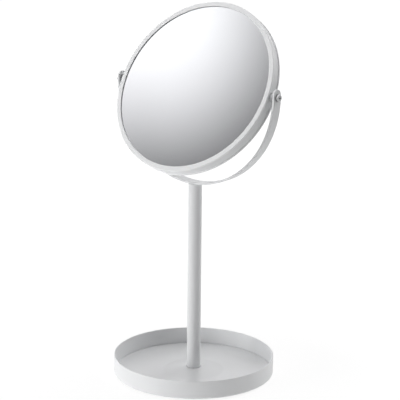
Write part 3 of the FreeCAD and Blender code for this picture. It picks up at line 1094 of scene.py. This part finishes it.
@dataclass(kw_only=True)
class PivotHardware(Assembly):
    """Screw, washers and bush at both ends of the pivot axis."""

    body: ClassVar[Body] = Body.HEAD

    coat: Finish
    chrome: Finish
    steel: Finish
    nylon: Finish
    head_gap: float = 0.15
    head_radius: float = 3.5
    head_height: float = 2.5
    crown: float = 1.1
    crown_bends: int = 6
    seat_edge: float = 0.12
    shank_radius: float = 1.75
    length: float = 13.0
    tip: float = 0.4
    cross_length: float = 3.9
    cross_width: float = 0.8
    cross_depth: float = 1.3
    cross_taper: float = 0.66
    cross_edge: float = 0.09
    points: int = 48

    def placement(self) -> Matrix:
        """The pivot's height."""
        return Matrix.Translation(self.pivot)

    def cross(self, mesh: Mesh) -> list[bmesh.types.BMEdge]:
        """Lay the recess's outline on the head's crest and sink its floor.

        Args:
            mesh: The empty mesh to work in.

        Returns:
            The edges around the recess's mouth.
        """
        squares = 3
        bmesh.ops.create_grid(mesh, x_segments=squares, y_segments=squares, size=1.0)
        arm, half = self.cross_length / 2.0, self.cross_width / 2.0
        steps = (-arm, -half, half, arm)
        for vert in mesh.verts:
            x, y = (steps[round((value + 1.0) / 2.0 * squares)] for value in vert.co.xy)
            vert.co = (x, y, self.head_height)
        waste = [face for face in mesh.faces
                 if min(map(abs, face.calc_center_median().xy)) > half]
        bmesh.ops.delete(mesh, geom=waste, context="FACES")
        mouth = [edge for edge in mesh.edges if edge.is_boundary]
        bmesh.ops.subdivide_edges(mesh, edges=mouth, cuts=self.points // len(mouth) - 1)
        mouth = [edge for edge in mesh.edges if edge.is_boundary]
        crest = mesh.faces[:]
        sunk = only_verts(bmesh.ops.extrude_face_region(mesh, geom=crest)["geom"])
        bmesh.ops.delete(mesh, geom=crest, context="FACES_ONLY")
        bmesh.ops.scale(mesh, vec=(self.cross_taper, self.cross_taper, 1.0), verts=sunk)
        bmesh.ops.translate(mesh, vec=(0.0, 0.0, -self.cross_depth), verts=sunk)
        return mouth

    def outline(self) -> list[tuple[float, float]]:
        """The screw's outline from the crown's edge to the tip, as radius and height."""
        flat, crown = self.head_radius - self.crown, []
        for bend in range(1, self.crown_bends + 1):
            angle = bend / self.crown_bends * math.pi / 2.0
            crown.append((flat + self.crown * math.sin(angle),
                          self.head_height - self.crown * (1.0 - math.cos(angle))))
        return crown + [
            (self.head_radius, self.seat_edge), (self.head_radius - self.seat_edge, 0.0),
            (self.shank_radius, 0.0), (self.shank_radius, self.tip - self.length),
            (self.shank_radius - self.tip, -self.length),
        ]

    def screw(self) -> Mesh:
        """Pan-head screw along +Z, its seat at the origin."""
        mesh = bmesh.new()
        mouth = self.cross(mesh)
        radius = self.head_radius - self.crown
        circle = bmesh.ops.create_circle(mesh, segments=self.points, radius=radius,
                                         matrix=Matrix.Translation((0, 0, self.head_height)))
        ring = list({edge for vert in circle["verts"] for edge in vert.link_edges})
        bmesh.ops.bridge_loops(mesh, edges=mouth + ring)
        for wider, height in self.outline():
            grown = bmesh.ops.extrude_edge_only(mesh, edges=ring)["geom"]
            verts = only_verts(grown)
            ring = [item for item in grown if isinstance(item, bmesh.types.BMEdge)]
            bmesh.ops.scale(mesh, vec=(wider / radius, wider / radius, 1.0), verts=verts)
            for vert in verts:
                vert.co.z = height
            radius = wider
        bmesh.ops.edgeloop_fill(mesh, edges=ring)
        close_up(mesh)
        lips = [edge for edge in mesh.edges
                if all(abs(vert.co.z - self.head_height) < TOUCHING for vert in edge.verts)
                and edge.calc_face_angle(0.0) > SQUARE_EDGE]
        bmesh.ops.bevel(mesh, geom=lips, offset=self.cross_edge, offset_type="OFFSET",
                        affect="EDGES", segments=2, profile=0.5, material=-1,
                        clamp_overlap=True)
        return mesh

    def build(self) -> None:
        """Make both screws and dress the pieces behind them."""
        seat = Matrix.Translation((0.0, 0.0, self.yoke_outer + self.head_gap))
        for side in Side:
            about = math.pi if side is Side.LEFT else 0.0
            mesh = self.screw()
            moved(mesh, Matrix.Rotation(about, 4, "Z") @ Axis.PIVOT.matrix() @ seat)
            self.finish_piece(mesh, f"{side.value}_screw", self.chrome,
                              f"{side.value}_pivot_screw")
            # the bush's coat is darkened as painted shade for the gap it sits in
            self.dress_node(f"{side.value}_pivot_bush", self.coat)
            self.dress_node(f"{side.value}_spring_washer", self.steel)
            self.dress_node(f"{side.value}_glide_washer", self.nylon)


# ---- studio, in metres


WHITE = (1.0, 1.0, 1.0)


def facing(place: Vector, back: Vector) -> Matrix:
    """Where a camera or lamp stands, with its back to a direction."""
    return Matrix.Translation(place) @ back.to_track_quat("Z", "Y").to_matrix().to_4x4()


@dataclass(frozen=True)
class View:
    """Where the camera stands about the object, in degrees and metres."""

    yaw: float = 37.17
    elevation: float = 13.61
    roll: float = 0.54
    distance: float = 1.2984
    target_height: float = 0.17
    lens: float = 124.81
    sensor: float = 36.0
    shift: float = 0.01225
    clip: tuple[float, float] = (0.01, 50.0)

    def sides(self) -> tuple[Vector, Vector, Vector]:
        """Level right and level near, as the camera sees them, and up."""
        yaw = math.radians(self.yaw)
        return (Vector((math.cos(yaw), math.sin(yaw), 0.0)),
                Vector((math.sin(yaw), -math.cos(yaw), 0.0)), Vector(UP))

    def build(self) -> None:
        """Set the camera up and make it the scene's."""
        data = bpy.data.cameras.new("camera")
        data.lens = self.lens
        data.sensor_width = self.sensor
        data.shift_x = self.shift
        data.clip_start, data.clip_end = self.clip
        data.dof.use_dof = False
        camera = linked("camera", data)
        near, up = self.sides()[1:]
        elevation = math.radians(self.elevation)
        back = near * math.cos(elevation) + up * math.sin(elevation)
        place = up * self.target_height + back * self.distance
        camera.matrix_world = (facing(place, back)
                               @ Matrix.Rotation(math.radians(self.roll), 4, "Z"))
        bpy.context.scene.camera = camera


@dataclass(frozen=True)
class SoftBox:
    """One soft lamp: where it stands as the camera sees it, its size and its power."""

    name: str
    right: float
    near: float
    up: float
    width: float
    height: float
    power: float
    aim_height: ClassVar[float] = 0.15

    def build(self, right: Vector, near: Vector, up: Vector) -> None:
        """Hang the lamp, aimed at the object and unseen itself.

        Args:
            right: Level right.
            near: Level, towards the camera.
            up: Straight up.
        """
        data = bpy.data.lights.new(self.name, "AREA")
        data.shape = "RECTANGLE"
        data.size, data.size_y = self.width, self.height
        data.energy = self.power
        lamp = linked(self.name, data)
        place = right * self.right + near * self.near + up * self.up
        lamp.matrix_world = facing(place, place - up * self.aim_height)
        lamp.visible_camera = False
        lamp.visible_glossy = False
        lamp.visible_transmission = False


@dataclass(frozen=True)
class Floor:
    """Pale round floor that takes the object's shadow and whitens outwards."""

    radius: float = 6.0
    paint: float = 0.86
    seen_paint: float = 0.24
    glow: float = 0.35
    glow_fade: tuple[float, float] = (0.1, 0.5)
    white: float = 0.84
    white_rise: tuple[float, float] = (0.15, 0.6)
    gloss: float = 0.8

    def build(self) -> None:
        """Lay the floor as part of the stage."""
        mesh = bmesh.new()
        bmesh.ops.create_circle(mesh, cap_ends=True, segments=96, radius=self.radius)
        floor = settled(mesh, "floor")
        material = bpy.data.materials.new("Pale floor")
        material.use_nodes = True
        shading = Shading(material.node_tree)
        out = shading.add("VectorMath", {0: shading.add("TexCoord").outputs["Object"]},
                          operation="LENGTH").outputs["Value"]
        lit = shading.remap(out, *self.glow_fade, start=self.glow, end=0.0)
        whiter = shading.remap(out, *self.white_rise, start=self.white)
        shading.sort_rays("OutputMaterial", self.glowing(shading, self.paint, lit),
                          self.glowing(shading, 0.0, self.gloss),
                          self.glowing(shading, self.seen_paint, whiter))
        floor.data.materials.append(material)

    @staticmethod
    def glowing(shading: Shading, paint: float, strength: Any) -> Socket:
        """Matt grey paint that also gives off white light.

        Args:
            shading: The material's shading helper.
            paint: How light the paint is, from 0 to 1.
            strength: Strength of the light, or the socket that gives it.

        Returns:
            The shader's socket.
        """
        matt = shading.add("BsdfDiffuse", {"Color": (paint, paint, paint)})
        light = shading.add("Emission", {"Color": WHITE, "Strength": strength})
        return shading.add("AddShader", {0: matt.outputs[0], 1: light.outputs[0]}).outputs[0]


@dataclass(frozen=True)
class Glow:
    """Light of the surroundings: an even part and parts that swell towards three sides."""

    even: float
    behind: float
    above: float
    left: float
    swell: ClassVar[tuple[float, float]] = (-0.2, 0.8)


@dataclass(frozen=True)
class GreyScreen:
    """Soft grey screen that the mirror shows, set by direction only.

    Its tone falls off downwards and to the right, with the square of the way past a line,
    and the screen fades out away from its middle.
    """

    middle: Colour = (-0.5965, -0.5287, 0.6039)
    fade: tuple[float, float] = (0.93, 0.985)
    right: Colour = (0.796095, -0.2943, 0.528791)
    right_line: float = -0.026637
    right_fall: float = 64.288
    down: Colour = (0.101619, -0.796065, -0.596619)
    down_line: float = -0.062546
    down_fall: float = 40.0294
    brightest: float = 1.136
    darkest: float = 0.45
    gamma: float = 2.2
    red: float = 1.012
    blue: float = 1.02


class Room(Shading):
    """The world's tree, which reads the direction looked in."""

    def __init__(self, tree: Tree, sides: Sequence[Vector]) -> None:
        """Start the world.

        Args:
            tree: The world's tree.
            sides: Level right, level near and up.
        """
        super().__init__(tree)
        self.right, self.near, self.up = sides
        self.direction = self.add("TexCoord").outputs["Generated"]

    def glow(self, glow: Glow) -> Socket:
        """Strength of a glow in the direction.

        Args:
            glow: The glow.

        Returns:
            The strength.
        """
        total = glow.even
        for side, part in ((-self.near, glow.behind), (self.up, glow.above),
                           (-self.right, glow.left)):
            swell = self.remap(self.dot(self.direction, side), *glow.swell, end=part,
                               smooth=True)
            total = self.math("ADD", swell, total)
        return total

    def fallen(self, tone: Any, way: Colour, line: float, fall: float) -> Socket:
        """A tone that falls off past a line.

        Args:
            tone: The tone before.
            way: The way in which it falls.
            line: How far that way it starts to fall.
            fall: How much it falls.

        Returns:
            The tone after.
        """
        past = self.math("SUBTRACT", self.dot(self.direction, way), line)
        square = self.math("POWER", self.math("MAXIMUM", past, 0.0), 2.0)
        return self.math("SUBTRACT", tone, self.math("MULTIPLY", square, fall))

    def seen(self, screen: GreyScreen, walls: Socket) -> Socket:
        """What the mirror and the gloss see: soft walls with a screen before them.

        Args:
            screen: The screen.
            walls: Brightness of the walls.

        Returns:
            The colour in the direction.
        """
        tone = self.fallen(screen.brightest, screen.down, screen.down_line, screen.down_fall)
        tone = self.fallen(tone, screen.right, screen.right_line, screen.right_fall)
        tone = self.math("POWER", self.math("MAXIMUM", tone, screen.darkest), screen.gamma)
        cover = self.remap(self.dot(self.direction, screen.middle), *screen.fade, smooth=True)
        wall = self.math("MULTIPLY", walls, self.math("SUBTRACT", 1.0, cover))
        grey = self.math("ADD", self.math("MULTIPLY", tone, cover), wall)
        return self.add("CombineColor", {0: self.math("MULTIPLY", grey, screen.red), 1: grey,
                                         2: self.math("MULTIPLY", grey, screen.blue)}).outputs[0]


@dataclass(frozen=True)
class Studio:
    """Camera, lamps, floor and surroundings."""

    view: View = View()
    floor: Floor = Floor()
    screen: GreyScreen = GreyScreen()
    fill: Glow = Glow(0.02, 0.34, 0.0, 0.0)
    fill_colour: Colour = (0.99, 0.995, 1.0)
    gloss: Glow = Glow(0.3, 0.49, 1.0, 0.6)
    lamps: tuple[SoftBox, ...] = (
        SoftBox("key", -2.2, 0.9, 0.2, 1.6, 1.2, 47.5),
        SoftBox("high left", -1.6, 0.4, 2.0, 1.4, 1.4, 6.5),
        SoftBox("high right", 1.5, -0.6, 2.0, 1.4, 1.4, 8.4),
        SoftBox("overhead", 0.0, -0.2, 2.2, 1.6, 1.6, 12.0),
        SoftBox("far right", 2.0, -1.4, 1.0, 1.2, 1.6, 14.8),
        SoftBox("far left", -1.6, -1.6, 1.2, 1.6, 1.6, 3.0),
        SoftBox("near right", 2.2, 0.8, 1.0, 1.4, 1.4, 3.8),
    )

    def surroundings(self) -> None:
        """White for direct sight, a soft room for reflections and a fill light."""
        world = bpy.data.worlds.new("studio")
        bpy.context.scene.world = world
        world.use_nodes = True
        room = Room(world.node_tree, self.view.sides())
        fill = room.add("Background", {"Color": self.fill_colour,
                                       "Strength": room.glow(self.fill)})
        seen = room.add("Background", {
            "Color": room.seen(self.screen, room.glow(self.gloss)), "Strength": 1.0})
        white = room.add("Background", {"Color": WHITE, "Strength": 1.0})
        room.sort_rays("OutputWorld", fill.outputs[0], seen.outputs[0], white.outputs[0])

    def build(self) -> None:
        """Set the whole studio up."""
        bpy.context.scene.view_settings.view_transform = "Standard"
        self.view.build()
        for lamp in self.lamps:
            lamp.build(*self.view.sides())
        self.floor.build()
        self.surroundings()


def corners(box: Sequence[Vector]) -> list[list[float]]:
    """A box as plain lists."""
    return [[float(value) for value in corner] for corner in box]


def main() -> None:
    """Build every assembly in order and the studio around them."""
    logging.basicConfig(level=logging.INFO, format="%(message)s")
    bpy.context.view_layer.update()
    coat = PowderCoat("Powder coat", Slot.POWDER_COAT)
    # the tray's coat paints the strongest shade into its inside corners
    tray_coat = PowderCoat("Tray powder coat", Slot.POWDER_COAT, crease_shade_strength=2.6)
    ring_coat = PowderCoat("Ring powder coat", Slot.POWDER_COAT, colour=(0.93, 0.936, 0.943),
                           pale_highlight_colour=(0.97, 0.975, 0.98), crease_shade_strength=0.0,
                           edge_gloss=0.3)
    # painted shade: the bushes get a darker copy of the white coat, to sit dark in the gap between
    # hoop and yoke
    shaded_bush_coat = PowderCoat("Bush coat darkened as painted shade", Slot.POWDER_COAT, colour=(0.56, 0.565, 0.57),
                           pale_highlight_colour=(0.62, 0.625, 0.63), edge_gloss=0.3)
    silver = Silvering("Silver film", Slot.MIRROR)
    glass = ClearGlass("Float glass", Slot.MIRROR)
    chrome = Metal("Chromed screw", Slot.CHROME, colour=(0.5, 0.505, 0.51), roughness=0.1)
    steel = Metal("Zinc steel", Slot.ZINC, colour=(0.56, 0.57, 0.58), roughness=0.34,
                  strokes=3000.0)
    plastic = Moulded("White plastic", Slot.PLASTIC)
    nylon = Moulded("Nylon", Slot.NYLON, colour=(0.4, 0.4, 0.41), roughness=0.42)
    foam = Moulded("Backing foam", Slot.FOAM, colour=(0.45, 0.45, 0.46), roughness=0.85,
                   cells=2500.0, depth=0.0002)
    rubber = Moulded("Grey rubber", Slot.RUBBER, colour=(0.32, 0.32, 0.33), roughness=0.72,
                     cells=1800.0, depth=0.00004)
    wardrobe = Wardrobe()
    assemblies: list[Assembly] = [
        Tray(wardrobe, coat=tray_coat, rubber=rubber),
        Post(wardrobe, coat=coat, steel=steel),
        Yoke(wardrobe, coat=coat),
        MirrorHead(wardrobe, coat=coat, ring_coat=ring_coat, silver=silver,
                   glass=glass, plastic=plastic, foam=foam),
        PivotHardware(wardrobe, coat=shaded_bush_coat, chrome=chrome, steel=steel, nylon=nylon),
    ]
    for assembly in assemblies:
        assembly.build()
    Studio().build()


if __name__ == "__main__":
    main()
